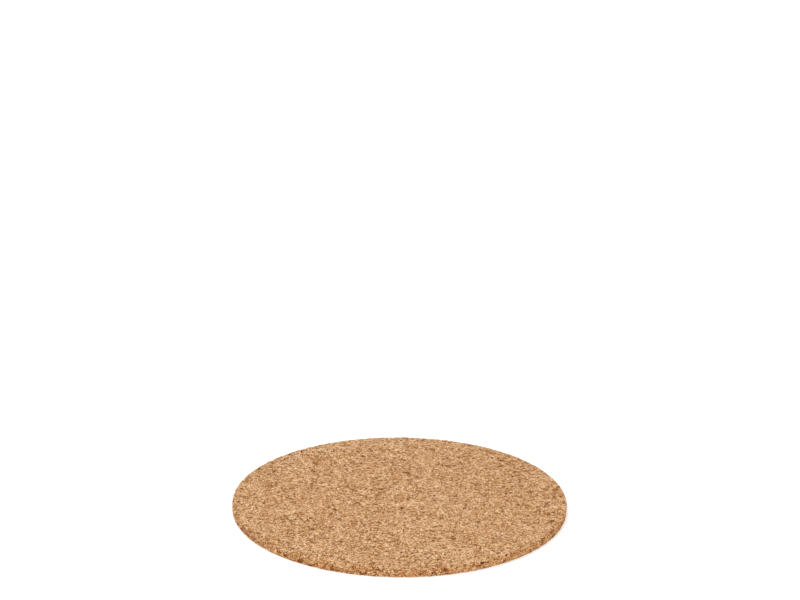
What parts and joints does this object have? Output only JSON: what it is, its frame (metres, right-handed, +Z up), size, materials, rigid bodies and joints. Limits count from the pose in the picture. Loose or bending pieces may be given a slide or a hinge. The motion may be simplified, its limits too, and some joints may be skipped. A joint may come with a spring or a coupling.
{
  "type": "drink coaster",
  "caption": "Flat round coaster, die cut from a thin sheet of pressed cork granules, that keeps a glass's wet foot off a table.",
  "frame": {"origin": "centre of the flat underside, where it rests on the table", "axes": "+Z up, along the disc's axis and square to both flat faces; X and Y lie in the table's plane and are alike"},
  "size_m": [0.1, 0.1, 0.0025],
  "materials": {
    "pressed_cork": "matt, fine-grained pressed cork granules with small dark bark flecks"
  },
  "bodies": {
    "root": {"cork_disc": "pressed_cork"}
  },
  "joints": []
}
